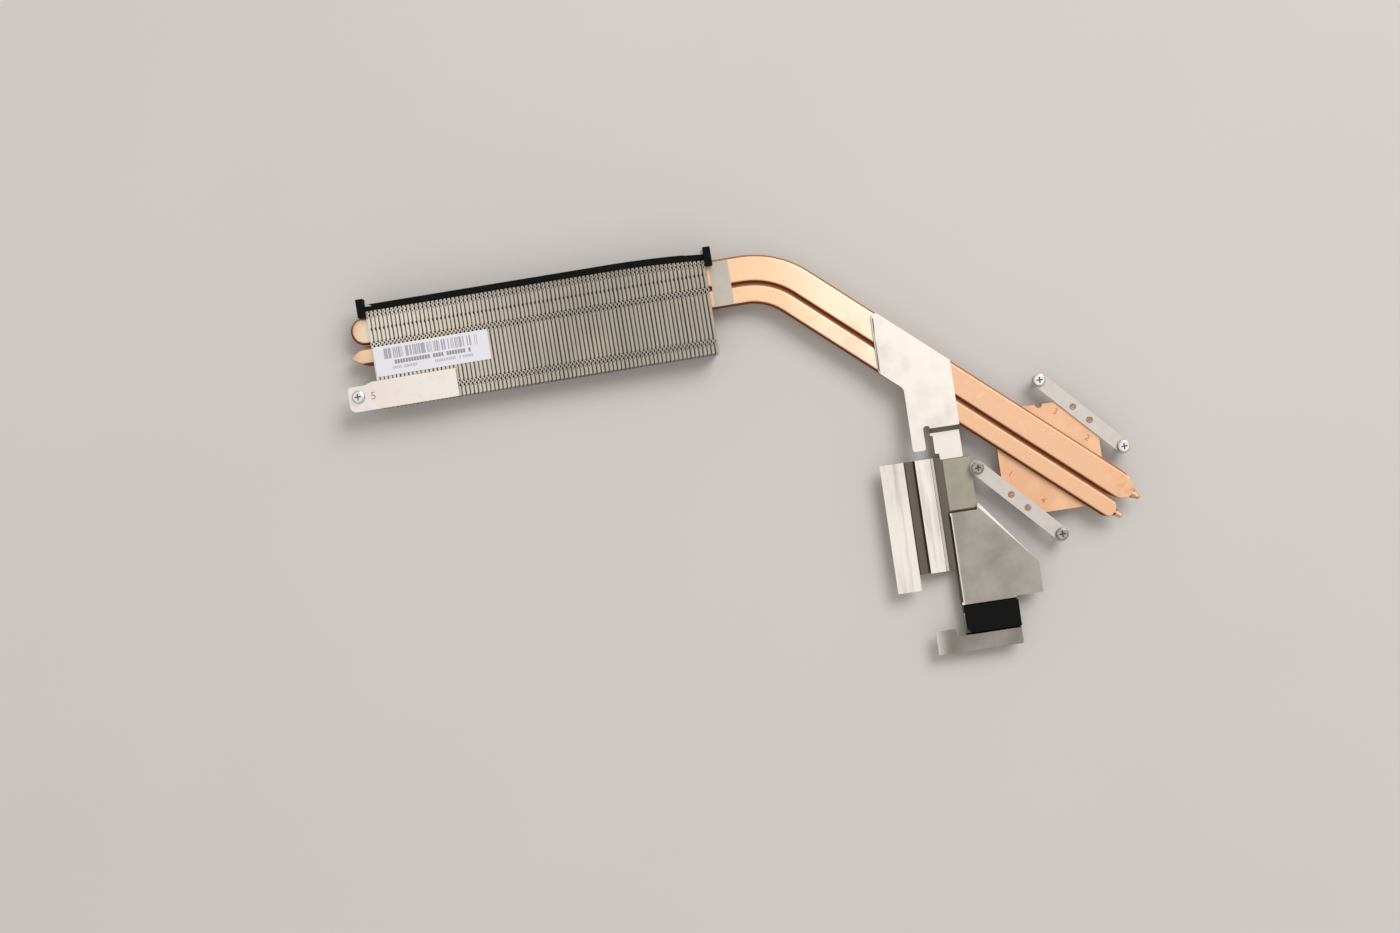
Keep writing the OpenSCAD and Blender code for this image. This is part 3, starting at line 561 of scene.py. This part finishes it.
def pad_film(look):
    finish = Finish("pad_film")
    place = finish.place()
    cloud = finish.noise(place, 120.0, 4.0)
    tone = finish.mix(cloud.ramp(0.3, 0.75) * 0.6, look.pad, tint(140, 138, 120))
    return finish.give(Base_Color=tone, Roughness=0.55, Normal=finish.bump(cloud, 0.1))


def label_paper(look):
    """White paper with plain bars above and two rows of plain blocks below them."""
    finish = Finish("label_paper")
    u, v, z = finish.parts(finish.stack_place())
    low = LABEL_V[0] * MM
    left = LABEL_U[0] * MM

    def band(value, start, end):
        return (value > start) * (value < end)

    bars = finish.speckle((u / 0.00024).floor()) > 0.45
    bars = bars * band(v, low + 0.0066, low + 0.0108) * band(u, left + 0.004, left + 0.0415)
    big = finish.speckle((u / 0.0011).floor() + 7) > 0.16
    big = big * ((u / 0.0011).fraction() < 0.8)
    big = big * band(v, low + 0.0042, low + 0.0058) * band(u, left + 0.0075, left + 0.0385)
    small = finish.speckle((u / 0.0007).floor() + 31) > 0.2
    small = small * ((u / 0.0007).fraction() < 0.7) * band(v, low + 0.0022, low + 0.0033)
    words = band(u, left + 0.0065, left + 0.0165) + band(u, left + 0.0235, left + 0.0395)
    ink = bars * 0.75 + big + small * words * 0.6
    fibres = finish.noise(finish.place(), 900.0, 3.0)
    paper = finish.mix(fibres * 0.25, look.label, tint(214, 212, 220))
    return finish.give(Base_Color=finish.mix(ink * 0.85, paper, look.ink), Roughness=0.65,
                       Normal=finish.bump(fibres, 0.05))


def table_top(look):
    finish = Finish("table_top")
    place = finish.place()
    cloud = finish.noise(place, 7.0, 3.0)
    tone = finish.mix(cloud.ramp(0.3, 0.7) * 0.25, look.floor, tint(201, 197, 192))
    return finish.give(Base_Color=tone, Roughness=0.7)


# ---------- mesh helpers ----------

def to_object(bm, name, body, material, replaces=(), matrix=IN_ROW, shade=False):
    """Turns a bmesh made in millimetres into a finished piece that rides on a body."""
    bmesh.ops.transform(bm, matrix=matrix, verts=bm.verts)
    bmesh.ops.recalc_face_normals(bm, faces=bm.faces)
    mesh = bpy.data.meshes.new(name)
    bm.to_mesh(mesh)
    bm.free()
    for polygon in mesh.polygons:
        polygon.use_smooth = shade
    mesh.materials.append(material)
    piece = bpy.data.objects.new(name, mesh)
    bpy.context.scene.collection.objects.link(piece)
    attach(piece, body)
    if replaces:
        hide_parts(*replaces)
    return piece


def merged_copy(node):
    """The CAD node's mesh as a clean bmesh in millimetres."""
    bm = bmesh.new()
    bm.from_mesh(NODES[node].data)
    bmesh.ops.transform(bm, matrix=Matrix.Scale(1 / MM, 4), verts=bm.verts)
    bmesh.ops.remove_doubles(bm, verts=bm.verts, dist=0.001)
    bmesh.ops.dissolve_limit(
        bm, angle_limit=math.radians(0.5), verts=bm.verts, edges=bm.edges)
    return bm


def rounded_copy(node, width, segments=2, least_angle=30):
    """A copy of the node with its sharp edges rounded over."""
    bm = merged_copy(node)
    sharp = [edge for edge in bm.edges
             if len(edge.link_faces) == 2 and edge.calc_face_angle() > math.radians(least_angle)]
    bmesh.ops.bevel(
        bm, geom=sharp, offset=width, offset_type="OFFSET", segments=segments, profile=0.5,
        affect="EDGES", material=-1, clamp_overlap=True)
    return bm


def finish_node(node, material):
    """Gives a CAD node a material and leaves its mesh alone."""
    mesh = NODES[node].data
    mesh.materials.clear()
    mesh.materials.append(material)


def loft(bm, ring, stations):
    """Draws the ring of points through stations of (place along Y, X centre, X scale, Z lift)."""
    first = stations[0]
    verts = [bm.verts.new((first[1] + x * first[2], first[0], z + first[3])) for x, z in ring]
    face = bm.faces.new(verts)
    previous = first
    for station in stations[1:]:
        grown = bmesh.ops.extrude_face_region(bm, geom=[face], use_keep_orig=previous is first)
        face = [g for g in grown["geom"] if isinstance(g, bmesh.types.BMFace)][0]
        for vert in face.verts:
            vert.co.x = station[1] + (vert.co.x - previous[1]) * station[2] / previous[2]
            vert.co.y = station[0]
            vert.co.z += station[3] - previous[3]
        previous = station


def box(bm, low, high):
    """A plain block between two corners."""
    size = [high[k] - low[k] for k in range(3)]
    middle = [(high[k] + low[k]) / 2 for k in range(3)]
    matrix = Matrix.Translation(middle) @ Matrix.Diagonal((size[0], size[1], size[2], 1))
    bmesh.ops.create_cube(bm, size=1, matrix=matrix)


def far_edge(u):
    """The fins' far edge: straight, then curving in towards the bend."""
    return FAR_EDGE_V - max(0.0, u + STACK_START + EDGE_CURVE) ** 2 / (2 * EDGE_RADIUS)


def stamped_number(digit, centre, height, turn, surface_z, material):
    """A shallow stamped number, lying on a surface."""
    name = "stamped_number_" + digit
    curve = bpy.data.curves.new(name, "FONT")
    curve.body = digit
    curve.size = height * 1.35
    curve.align_x = "CENTER"
    curve.align_y = "CENTER"
    curve.offset = -0.02
    curve.extrude = 0.015
    curve.resolution_u = 4
    text = bpy.data.objects.new(name, curve)
    bpy.context.scene.collection.objects.link(text)
    mesh = bpy.data.meshes.new_from_object(text.evaluated_get(bpy.context.evaluated_depsgraph_get()))
    bpy.data.objects.remove(text)
    bpy.data.curves.remove(curve)
    bm = bmesh.new()
    bm.from_mesh(mesh)
    bpy.data.meshes.remove(mesh)
    bmesh.ops.remove_doubles(bm, verts=bm.verts, dist=0.0005)
    spot = Matrix.Translation((centre[0], centre[1], surface_z)) @ Matrix.Rotation(turn, 4, "Z")
    return to_object(bm, name, MODULE, material, matrix=IN_ROW @ spot)


# ---------- operators ----------

class HEAT_OT_pipes(bpy.types.Operator):
    """Give both pipes their drawn and polished copper"""
    bl_idname = "heat.pipes"
    bl_label = "Copper Pipes"

    def execute(self, context):
        look = context.scene.heat_copper
        copper = pipe_copper(look)
        finish_node("wide_heat_pipe", copper)
        self.pointed_pipe(copper)
        self.crimp("wide", WIDE_V, WIDE_TIP, 2.15, copper)
        self.crimp("narrow", NARROW_V, NARROW_TIP, 1.65, copper)
        self.seam(groove_shade_copper(look))
        return {"FINISHED"}

    def pointed_pipe(self, copper):
        """The narrow pipe, with its free end by the label drawn down to a point."""
        bm = merged_copy("narrow_heat_pipe")
        bmesh.ops.transform(bm, matrix=IN_STACK.inverted() @ IN_ROW, verts=bm.verts)
        tip = min(vert.co.x for vert in bm.verts)
        for vert in bm.verts:
            along = (tip + POINT_LENGTH - vert.co.x) / POINT_LENGTH
            if along > 0:
                vert.co.y = NARROW_V + (vert.co.y - NARROW_V) * (1 - 0.85 * along ** 1.9)
        to_object(bm, "narrow_pipe", MODULE, copper,
                  replaces=["narrow_heat_pipe"], matrix=IN_STACK)

    def crimp(self, name, v, tip, half_width, copper):
        """The flattened cone that closes a pipe, drawn down to its pinched tip."""
        bm = bmesh.new()
        bmesh.ops.create_cone(
            bm, cap_ends=True, segments=24, radius1=1.0, radius2=0.3, depth=3.3,
            matrix=Matrix.Rotation(math.radians(90), 4, "Y"))
        for vert in bm.verts:
            vert.co.y *= half_width
            vert.co.z *= 0.95 if vert.co.x < 0 else 1.9
        bmesh.ops.translate(bm, vec=(tip - 1.65, v, PIPE_Z), verts=bm.verts)
        to_object(bm, name + "_crimp", MODULE, copper, matrix=IN_RUN, shade=True)

    def seam(self, copper):
        """A dark strip laid in the groove between the two pipes, as painted shade for the shaded groove.
        """
        bm = bmesh.new()
        half, low, high = 0.4, PIPE_Z - 0.8, PIPE_Z + 0.05
        rim = [bm.verts.new((0, GROOVE_STRIP_V + v, z))
               for v, z in ((-half, low), (half, low), (half, high), (-half, high))]
        face = bm.faces.new(rim)
        begun = bmesh.ops.extrude_face_region(bm, geom=[face])
        start = [g for g in begun["geom"] if isinstance(g, bmesh.types.BMFace)]
        bmesh.ops.translate(bm, vec=(-STACK_START, 0, 0), verts=start[0].verts)
        turned = bmesh.ops.spin(
            bm, geom=[face], cent=(0, 0, 0), axis=(0, 0, 1), angle=-STACK_TURN - PIPE_ANGLE,
            steps=30, use_merge=False, use_duplicate=False)
        last = [g for g in turned["geom_last"] if isinstance(g, bmesh.types.BMFace)]
        run = Matrix.Rotation(-STACK_TURN - PIPE_ANGLE, 4, "Z") @ Vector((GROOVE_STRIP_RUN, 0, 0))
        ended = bmesh.ops.extrude_face_region(bm, geom=last)
        moved = [g for g in ended["geom"] if isinstance(g, bmesh.types.BMVert)]
        bmesh.ops.translate(bm, vec=run, verts=moved)
        to_object(bm, "groove_shade_strip", MODULE, copper, matrix=IN_STACK)


class HEAT_OT_contact_plate(bpy.types.Operator):
    """Round the contact plate's edges and stamp the screws' order beside them"""
    bl_idname = "heat.contact_plate"
    bl_label = "Contact Plate"

    def execute(self, context):
        look = context.scene.heat_copper
        copper = plate_copper(look)
        to_object(rounded_copy("contact_plate", 0.1), "plate", MODULE, copper,
                  replaces=["contact_plate"])
        ink = Finish("stamped_copper")
        cloud = ink.noise(ink.place(), 800.0, 2.0)
        stamped = ink.give(
            Base_Color=ink.mix(cloud, tint(150, 100, 72), tint(186, 132, 98)), Metallic=0.6,
            Roughness=0.55)
        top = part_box("contact_plate")[1].z / MM
        turn = PIPE_ANGLE * -1
        places = {"1": (-16.8, -4.4), "2": (15.9, 5.4), "3": (4.8, 17.7), "4": (-5.3, -16.8)}
        for digit, centre in places.items():
            stamped_number(digit, centre, 2.6, turn, top + 0.012, stamped)
        return {"FINISHED"}


class HEAT_OT_fins(bpy.types.Operator):
    """Fold and zip the fins into one stack"""
    bl_idname = "heat.fins"
    bl_label = "Zipped Fins"

    # Profile of a flange, half its width either side of X = 0, with rolled edges
    ring = ((-1.0, -0.3), (-1.0, -0.14), (-0.78, 0.0), (0.72, 0.0), (1.0, -0.12), (1.0, -0.3))

    def flange_stations(self, far, near, lean):
        """Stations down one flange: the double row of loops, the slot and two rows of hooks."""
        full = (0.68 + lean, 0.6)

        def hook(v):
            return [(v, *full), (v - 0.35, 0.5, 0.36), (v - 1.15, 1.3, 0.33),
                    (v - 1.45, 1.26, 0.33), (v - 2.3, 0.5, 0.36), (v - 2.55, 0.6, 0.38),
                    (v - 2.9, 1.02, 0.36), (v - 3.15, 0.98, 0.38), (v - 3.5, *full)]

        rows = [(far, 0.85, 0.4), (far - 0.5, 0.62, 0.36), (far - 0.95, 1.05, 0.34),
                (far - 1.25, 1.0, 0.34), (far - 1.75, 0.55, 0.36), (far - 2.1, 0.62, 0.36),
                (far - 2.5, 1.05, 0.34), (far - 2.85, 0.98, 0.36), (far - 3.3, *full),
                (35.4, *full), (35.1, 0.52, 0.44), (34.4, 0.52, 0.44), (34.1, *full)]
        rows += hook(30.1)
        rows += hook(9.4)
        rows += [(near + 0.5, *full), (near + 0.12, 0.62 + lean, 0.46), (near, 0.6 + lean, 0.34)]
        rows = [row for k, row in enumerate(rows) if k < 9 or row[0] < far - 3.5]
        return [(v, centre, half, 0.1 if half < 0.35 else 0.0) for v, centre, half in rows]

    def one_fin(self, bm, u, sheet, lean):
        far = far_edge(u + 1.2)
        fin = bmesh.new()
        stations = self.flange_stations(far, NEAR_EDGE_V, lean)
        loft(fin, self.ring, stations)
        bmesh.ops.translate(fin, vec=(0, 0, STACK_TOP - 0.12), verts=fin.verts)
        slot_far = min(SLOT_V[1], far - 0.15)
        web_top = STACK_TOP - 0.35
        box(fin, (0, SLOT_V[0], SLOT_Z[1]), (sheet, slot_far, web_top))
        box(fin, (0, SLOT_V[0], STACK_BOTTOM), (sheet, slot_far, SLOT_Z[0]))
        box(fin, (0, NEAR_EDGE_V, STACK_BOTTOM), (sheet, SLOT_V[0], web_top))
        box(fin, (0, slot_far, STACK_BOTTOM), (sheet, far, web_top))
        box(fin, (sheet, NEAR_EDGE_V, STACK_BOTTOM), (1.2, far, STACK_BOTTOM + sheet))
        bmesh.ops.translate(fin, vec=(u, 0, 0), verts=fin.verts)
        mesh = bpy.data.meshes.new("fin")
        fin.to_mesh(mesh)
        fin.free()
        bm.from_mesh(mesh)
        bpy.data.meshes.remove(mesh)

    def execute(self, context):
        look = context.scene.heat_fins
        bm = bmesh.new()
        for k in range(look.count):
            lean = 0.05 * math.sin(k * 2.4) + 0.03 * math.sin(k * 7.1)
            self.one_fin(bm, STACK_LEFT + k * look.pitch / MM, look.sheet / MM, lean)
        to_object(bm, "zipped_fins", MODULE, fin_aluminium(look),
                  replaces=["fin_stack"], matrix=IN_STACK)
        return {"FINISHED"}


class HEAT_OT_arms(bpy.types.Operator):
    """Finish the spring arms and their rivets"""
    bl_idname = "heat.arms"
    bl_label = "Spring Arms"

    def execute(self, context):
        steel = arm_steel(context.scene.heat_nickel)
        for node in ("upper_spring_arm", "lower_spring_arm"):
            to_object(rounded_copy(node, 0.08, 1), node.replace("_spring", ""), MODULE,
                      steel, replaces=[node])
        finish_node("arm_rivets", rivet_copper(context.scene.heat_copper))
        return {"FINISHED"}


class HEAT_OT_screws(bpy.types.Operator):
    """Plate the screws and their clips, and cut their threads"""
    bl_idname = "heat.screws"
    bl_label = "Captive Screws"

    def cut_thread(self, number, material, slot, pitch):
        low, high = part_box("screw_%d" % number)
        centre = (low + high) / 2 / MM
        root = 1.21
        start = low.z / MM + 0.55
        turns = 9
        bm = bmesh.new()
        ridge = [bm.verts.new((centre.x + root, centre.y, start)),
                 bm.verts.new((centre.x + root + 0.09, centre.y, start + pitch * 0.35)),
                 bm.verts.new((centre.x + root, centre.y, start + pitch * 0.7))]
        face = bm.faces.new(ridge)
        steps = turns * 20
        bmesh.ops.spin(
            bm, geom=[face], cent=centre, axis=(0, 0, 1), dvec=(0, 0, pitch / 20),
            angle=math.radians(360 * turns), steps=steps, use_merge=False, use_duplicate=False)
        to_object(bm, "screw_%d_thread" % number, "screw_%d_body" % number, material)

    def execute(self, context):
        look = context.scene.heat_nickel
        clip = clip_steel()
        for number in range(1, 6):
            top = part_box("screw_%d" % number)[1].z
            dull = number in (1, 4)
            name = "screw_%d_plating" % number
            value = look.dull_screw if dull else look.screw
            material = screw_metal(name, value, top, 0.8 if dull else 0.15)
            finish_node("screw_%d" % number, material)
            finish_node("screw_%d_clip" % number, clip)
            slot = "dull_screw" if dull else "nickel_screw"
            self.cut_thread(number, material, slot, look.thread_pitch / MM)
        return {"FINISHED"}


class HEAT_OT_sheets(bpy.types.Operator):
    """Round and plate the bracket, the stepped plate and the screw plate"""
    bl_idname = "heat.sheets"
    bl_label = "Nickel-plated Sheets"

    def execute(self, context):
        look = context.scene.heat_nickel
        width = look.bevel / MM
        plain = nickel("bracket_nickel", look, bracket_shade)
        stepped = nickel("stepped_nickel", look, stepped_shade)
        to_object(rounded_copy("pipe_bracket", width), "bracket", MODULE, plain,
                  replaces=["pipe_bracket"])
        to_object(rounded_copy("stepped_plate", width), "step_plate", MODULE,
                  stepped, replaces=["stepped_plate"])
        to_object(rounded_copy("screw_plate", width), "screw_tongue", MODULE,
                  tongue_nickel(look), replaces=["screw_plate"])
        self.rolled_edge(plain)
        ink = Finish("stamped_nickel")
        cloud = ink.noise(ink.place(), 800.0, 2.0)
        stamped = ink.give(
            Base_Color=ink.mix(cloud, tint(120, 108, 100), tint(160, 150, 140)), Metallic=0.6,
            Roughness=0.55)
        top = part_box("screw_plate")[1].z / MM
        stamped_number("5", (-263.9, 64.0), 3.2, STACK_TURN, top + 0.012, stamped)
        return {"FINISHED"}


    def rolled_edge(self, material):
        """The bead along the bracket's left edge."""
        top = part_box("pipe_bracket")[1].z / MM
        bm = bmesh.new()
        bmesh.ops.create_cone(
            bm, cap_ends=True, segments=12, radius1=0.24, radius2=0.24, depth=21.0,
            matrix=Matrix.Translation((-62.75, 54.8, top - 0.12))
            @ Matrix.Rotation(math.radians(-1.2), 4, "Z")
            @ Matrix.Rotation(math.radians(90), 4, "X"))
        to_object(bm, "rolled_edge", MODULE, material, shade=True)


class HEAT_OT_foam(bpy.types.Operator):
    """Cut the foam seal, its end blocks and the foam in the recess"""
    bl_idname = "heat.foam"
    bl_label = "Foam"

    def execute(self, context):
        look = context.scene.heat_trim
        foam = black_foam(look)
        for node, name in (("foam_seal", "seal"), ("left_foam_block", "left_block"),
                           ("right_foam_block", "right_block"), ("recess_foam", "cushion")):
            to_object(rounded_copy(node, 0.2), name, MODULE, foam,
                      replaces=[node])
        # Painted light: pale wedges beside the seal's ends stand for the ends' lit sides.
        lit_foam_end = lit_foam_end_finish(look)
        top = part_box("foam_seal")[1].z / MM + 0.05
        wedges = {"left_lit_foam_end": ((-262.0, 101.4), (-262.0, 99.6), (-259.4, 99.5)),
                  "right_lit_foam_end": ((-134.0, 101.0), (-125.9, 100.4), (-125.9, 102.1))}
        for name, corners in wedges.items():
            bm = bmesh.new()
            face = bm.faces.new([bm.verts.new((x, y, top)) for x, y in corners])
            made = bmesh.ops.extrude_face_region(bm, geom=[face])
            raised = [g for g in made["geom"] if isinstance(g, bmesh.types.BMVert)]
            bmesh.ops.translate(bm, vec=(0, 0, 0.1), verts=raised)
            to_object(bm, name, MODULE, lit_foam_end)
        return {"FINISHED"}


class HEAT_OT_trim(bpy.types.Operator):
    """Lay the tape, the insulating pad and the printed label"""
    bl_idname = "heat.trim"
    bl_label = "Tape, Pad and Label"

    def execute(self, context):
        look = context.scene.heat_trim
        finish_node("pipe_tape", grey_tape(look))
        finish_node("insulating_pad", pad_film(look))
        finish_node("label", label_paper(look))
        return {"FINISHED"}


class HEAT_OT_stage(bpy.types.Operator):
    """Set the table, the light and the camera"""
    bl_idname = "heat.stage"
    bl_label = "Stage"

    def execute(self, context):
        look = context.scene.heat_stage
        self.table(look)
        self.sky(context.scene, look)
        self.lamp(look)
        self.camera(context.scene, look)
        context.scene.view_settings.view_transform = "Standard"
        return {"FINISHED"}

    def table(self, look):
        bm = bmesh.new()
        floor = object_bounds()[0].z / MM
        bmesh.ops.create_circle(
            bm, cap_ends=True, segments=64, radius=4000,
            matrix=Matrix.Translation((CAMERA_OVER[0], CAMERA_OVER[1], floor)))
        bmesh.ops.transform(bm, matrix=IN_ROW, verts=bm.verts)
        mesh = bpy.data.meshes.new("table")
        bm.to_mesh(mesh)
        bm.free()
        mesh.materials.append(table_top(look))
        table = bpy.data.objects.new("table", mesh)
        bpy.context.scene.collection.objects.link(table)
        table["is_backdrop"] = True

    def sky(self, scene, look):
        """Even light from all round. Metal sees a bright ceiling and a darker room."""
        world = bpy.data.worlds.new("studio")
        scene.world = world
        graph = Graph(world)
        height = graph.parts(graph.node("ShaderNodeTexCoord", output="Generated"))[2]
        ceiling = 0.22 + height.ramp(0.1, 0.9) * 0.72
        glossy = graph.node("ShaderNodeLightPath", output="Is Glossy Ray")
        camera = graph.node("ShaderNodeLightPath", output="Is Camera Ray")
        seen = graph.node(
            "ShaderNodeBackground", None,
            {"Color": (0.86, 0.85, 0.84, 1), "Strength": camera + glossy * ceiling})
        light = graph.node(
            "ShaderNodeBackground", None,
            {"Color": (1.0, 0.985, 0.97, 1), "Strength": look.sky})
        blend = graph.node("ShaderNodeMixShader", None, {0: camera + glossy, 1: light, 2: seen})
        graph.node("ShaderNodeOutputWorld", None, {"Surface": blend}, None)

    def lamp(self, look):
        lamp = bpy.data.lights.new("soft_lamp", "AREA")
        lamp.shape = "DISK"
        lamp.size = 1.8
        lamp.energy = look.lamp_power
        holder = bpy.data.objects.new("soft_lamp", lamp)
        place = Vector((CAMERA_OVER[0] + 1350, CAMERA_OVER[1] + 1450, 2150)) * MM
        holder.location = place
        aim = Vector((CAMERA_OVER[0], CAMERA_OVER[1], 0)) * MM - place
        holder.rotation_euler = aim.to_track_quat("-Z", "Y").to_euler()
        bpy.context.scene.collection.objects.link(holder)

    def camera(self, scene, look):
        lens = bpy.data.cameras.new("camera")
        lens.lens = 50
        lens.sensor_width = 36
        camera = bpy.data.objects.new("camera", lens)
        camera.location = (look.camera_x, look.camera_y, look.camera_height)
        camera.rotation_euler = (0, 0, look.camera_turn)
        scene.collection.objects.link(camera)
        scene.camera = camera


CAMERA_OVER = (-139.5, 17.0)
LABEL_U = (-149.7, -103.7)
LABEL_V = (15.499, 27.499)


class HEAT_PT_sidebar(bpy.types.Panel):
    bl_label = "Heat Pipes"
    bl_idname = "HEAT_PT_sidebar"
    bl_space_type = "VIEW_3D"
    bl_region_type = "UI"
    bl_category = "Heat Pipes"

    def draw(self, context):
        for operator in OPERATORS:
            self.layout.operator(operator.bl_idname)
        for name, group in SETTINGS.items():
            for prop in group.__annotations__:
                self.layout.prop(getattr(context.scene, name), prop)


OPERATORS = (
    HEAT_OT_pipes, HEAT_OT_contact_plate, HEAT_OT_fins, HEAT_OT_arms, HEAT_OT_screws,
    HEAT_OT_sheets, HEAT_OT_foam, HEAT_OT_trim, HEAT_OT_stage,
)


def register():
    for group in SETTINGS.values():
        bpy.utils.register_class(group)
    for operator in OPERATORS:
        bpy.utils.register_class(operator)
    bpy.utils.register_class(HEAT_PT_sidebar)
    for name, group in SETTINGS.items():
        setattr(bpy.types.Scene, name, bpy.props.PointerProperty(type=group))


def unregister():
    for name in SETTINGS:
        delattr(bpy.types.Scene, name)
    bpy.utils.unregister_class(HEAT_PT_sidebar)
    for operator in reversed(OPERATORS):
        bpy.utils.unregister_class(operator)
    for group in reversed(list(SETTINGS.values())):
        bpy.utils.unregister_class(group)


def main():
    register()
    for operator in OPERATORS:
        group, name = operator.bl_idname.split(".")
        getattr(getattr(bpy.ops, group), name)()


if __name__ == "__main__":
    main()
